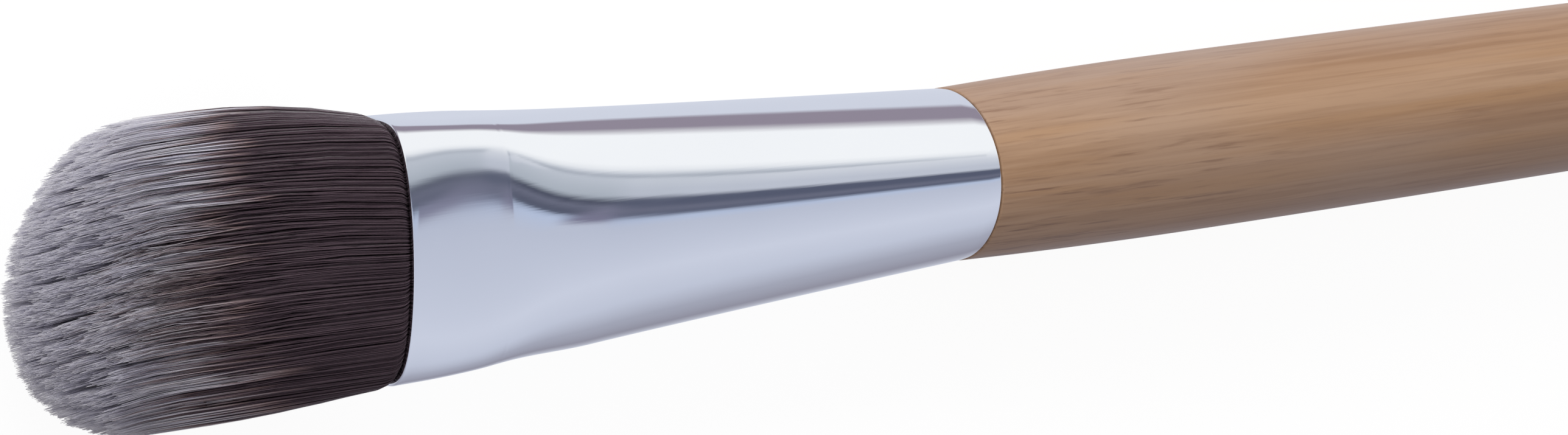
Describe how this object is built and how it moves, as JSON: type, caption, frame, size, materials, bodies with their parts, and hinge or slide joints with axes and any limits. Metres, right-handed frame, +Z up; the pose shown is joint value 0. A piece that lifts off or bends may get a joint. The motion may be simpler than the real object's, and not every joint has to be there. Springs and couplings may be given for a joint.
{
  "type": "concealer brush",
  "caption": "Flat concealer brush: turned bamboo handle, pressed oval aluminium ferrule and a rounded tuft of two-tone synthetic filaments for blending make-up.",
  "frame": {"origin": "on the table under the middle of the brush's length, where the brush lies on its flat side", "axes": "+X along the brush from the tuft to the tail, +Y across the width of the tuft, +Z up, out of the flat face"},
  "size_m": [0.1638, 0.0158, 0.0092],
  "materials": {
    "bamboo": "satin",
    "polished_aluminium": "polished",
    "filament": "satin",
    "thread": "matte",
    "resin": "gloss",
    "glue": "satin"
  },
  "bodies": {
    "root": {"handle": "bamboo", "ferrule": "polished_aluminium", "filament_tuft": "filament", "binding_thread": "thread", "resin_plug": "resin", "handle_adhesive": "glue"}
  },
  "joints": []
}
